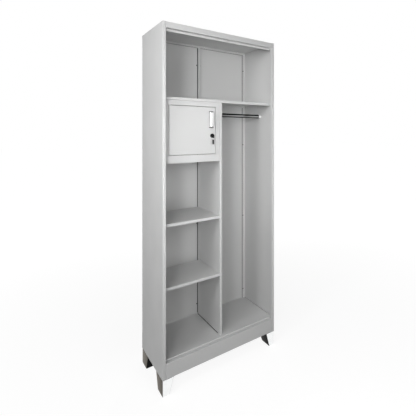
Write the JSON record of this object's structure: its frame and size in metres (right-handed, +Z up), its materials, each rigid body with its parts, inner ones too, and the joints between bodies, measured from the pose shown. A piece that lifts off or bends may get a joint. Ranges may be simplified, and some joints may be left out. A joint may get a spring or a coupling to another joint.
{
  "type": "metal wardrobe",
  "caption": "Tall grey sheet-steel wardrobe with open bays, shelves, a hanging rail and a lockable box with a hinged door, on tapered chrome legs.",
  "frame": {"origin": "on the floor, under the middle of the wardrobe's overall box", "axes": "+Z up, +X to the right seen from the open front, +Y to the back"},
  "size_m": [0.7, 0.37, 1.935],
  "materials": {
    "grey_paint": "light grey powder coat with a soft satin sheen",
    "polished_chrome": "bright polished chrome plate",
    "black_plastic": "moulded black plastic with a low sheen",
    "zinc_steel": "plain zinc-plated steel"
  },
  "bodies": {
    "cabinet": {"left_side_panel": "grey_paint", "right_side_panel": "grey_paint", "top_panel": "grey_paint", "floor_panel": "grey_paint", "plinth": "grey_paint", "rear_base_rail": "grey_paint", "back_panel_left": "grey_paint", "back_panel_right": "grey_paint", "back_joint_strip": "grey_paint", "top_shelf": "grey_paint", "upper_shelf": "grey_paint", "lower_shelf": "grey_paint", "divider": "grey_paint", "locker_floor": "grey_paint", "locker_frame": "grey_paint", "hanging_rail": "polished_chrome", "rail_cup_left": "polished_chrome", "rail_cup_right": "polished_chrome", "leg_front_left": "polished_chrome", "leg_front_right": "polished_chrome", "leg_rear_left": "polished_chrome", "leg_rear_right": "polished_chrome", "leg_bolt_front_left_1": "zinc_steel", "leg_bolt_front_left_2": "zinc_steel", "leg_bolt_front_right_1": "zinc_steel", "leg_bolt_front_right_2": "zinc_steel", "leg_bolt_rear_left_1": "zinc_steel", "leg_bolt_rear_left_2": "zinc_steel", "leg_bolt_rear_right_1": "zinc_steel", "leg_bolt_rear_right_2": "zinc_steel", "leg_nut_front_left_1": "zinc_steel", "leg_nut_front_left_2": "zinc_steel", "leg_nut_front_right_1": "zinc_steel", "leg_nut_front_right_2": "zinc_steel", "leg_nut_rear_left_1": "zinc_steel", "leg_nut_rear_left_2": "zinc_steel", "leg_nut_rear_right_1": "zinc_steel", "leg_nut_rear_right_2": "zinc_steel"},
    "locker_door": {"locker_door": "grey_paint", "hinge_pin_lower": "zinc_steel", "hinge_pin_upper": "zinc_steel", "locker_handle": "polished_chrome", "handle_screw_lower": "zinc_steel", "handle_screw_upper": "zinc_steel", "lock_housing": "black_plastic", "lock_nut": "zinc_steel"},
    "lock": {"lock_cylinder": "zinc_steel", "lock_cam": "zinc_steel", "cam_screw": "zinc_steel", "key_blade": "zinc_steel"},
    "key_bow": {"key_pivot_pin": "zinc_steel", "key_link": "zinc_steel", "key_bow": "black_plastic"}
  },
  "joints": [
    {"name": "locker_door_hinge", "type": "hinge", "parent": "cabinet", "child": "locker_door", "pos_m": [-0.294, -0.134, 1.239], "axis": [0, 0, -1], "range_deg": [0, 110]},
    {"name": "lock_turn", "type": "hinge", "parent": "locker_door", "child": "lock", "pos_m": [-0.057, -0.14, 1.343], "axis": [0, -1, 0], "range_deg": [0, 90]},
    {"name": "key_bow_fold", "type": "hinge", "parent": "lock", "child": "key_bow", "pos_m": [-0.057, -0.156, 1.343], "axis": [-1, 0, 0], "range_deg": [0, 90]}
  ]
}
